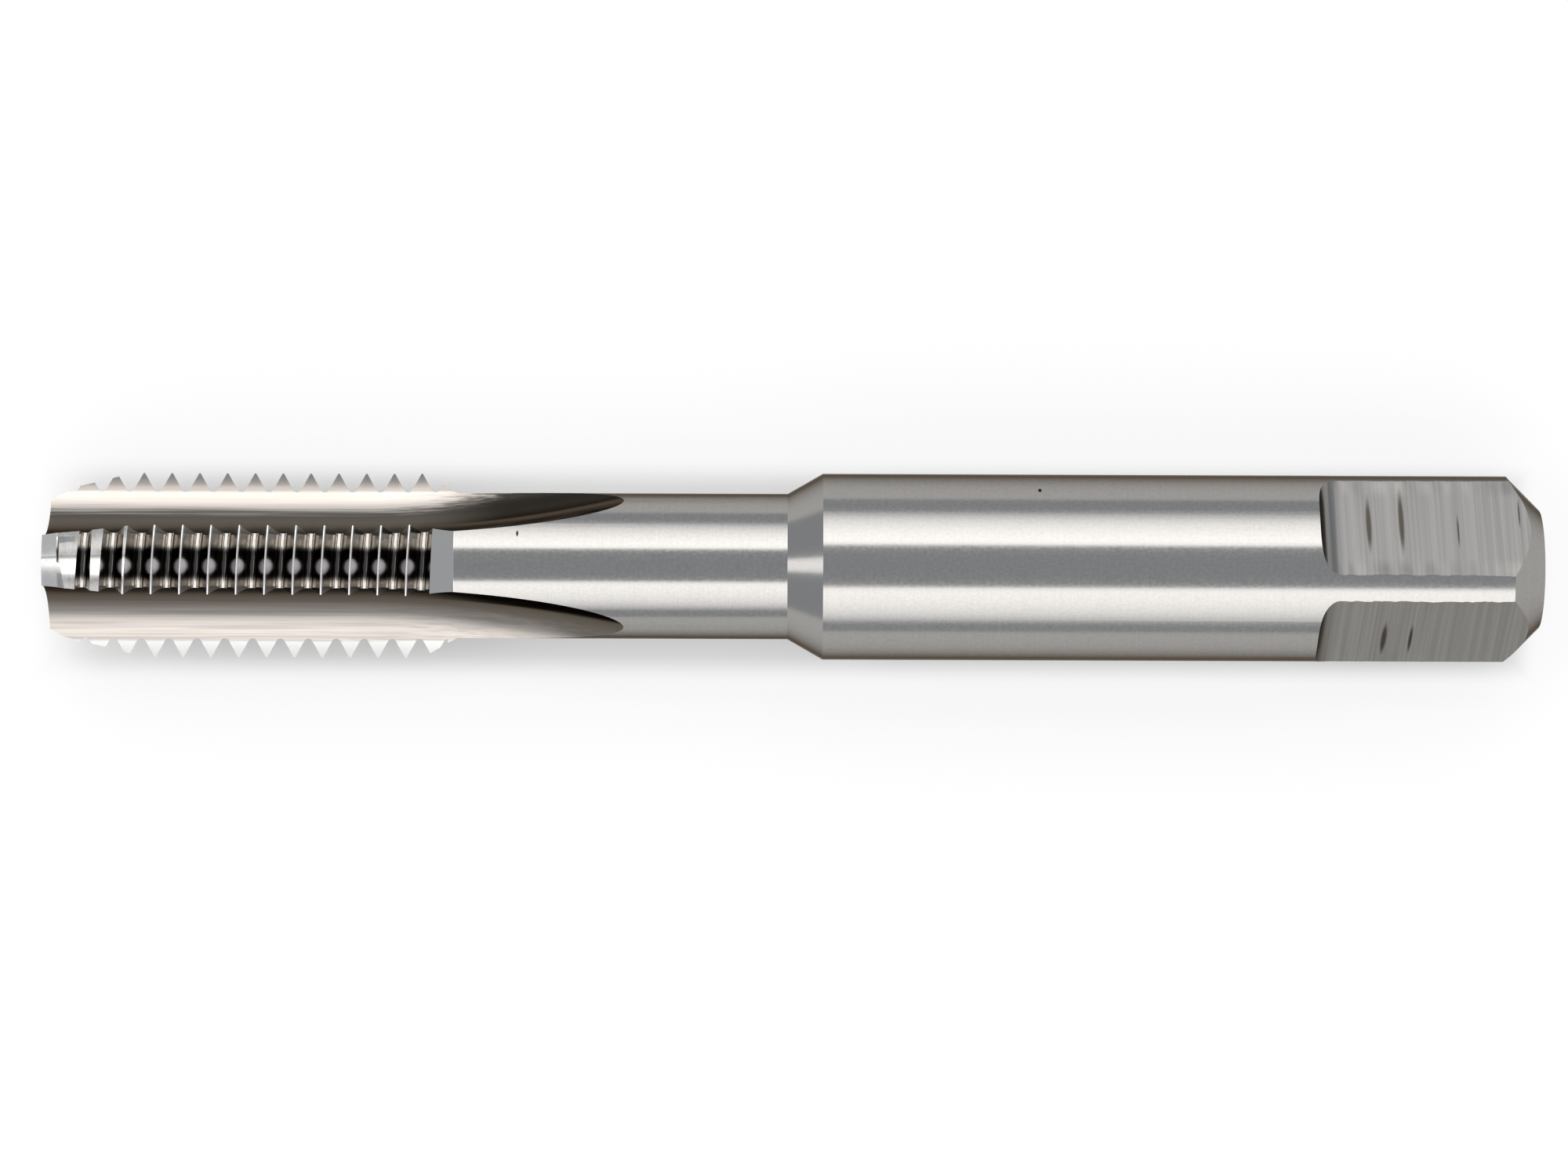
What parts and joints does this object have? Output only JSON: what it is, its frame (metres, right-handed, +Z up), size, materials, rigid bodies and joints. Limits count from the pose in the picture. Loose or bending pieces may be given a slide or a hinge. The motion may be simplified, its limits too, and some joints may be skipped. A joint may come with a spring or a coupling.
{
  "type": "thread tap",
  "caption": "Straight-fluted metric thread tap with a lead chamfer, a recessed neck, a plain shank and a driving square.",
  "frame": {"origin": "centre of the end face of the driving square, on the tap's axis", "axes": "+X along the axis, out of the square's end, so the cutting end is at -X. +Z up as the tap lies on its shank, with the middle of one land on top."},
  "size_m": [0.08, 0.01, 0.01],
  "materials": {
    "steel": "bright ground high-speed steel"
  },
  "bodies": {
    "root": {"tap": "steel"}
  },
  "joints": []
}
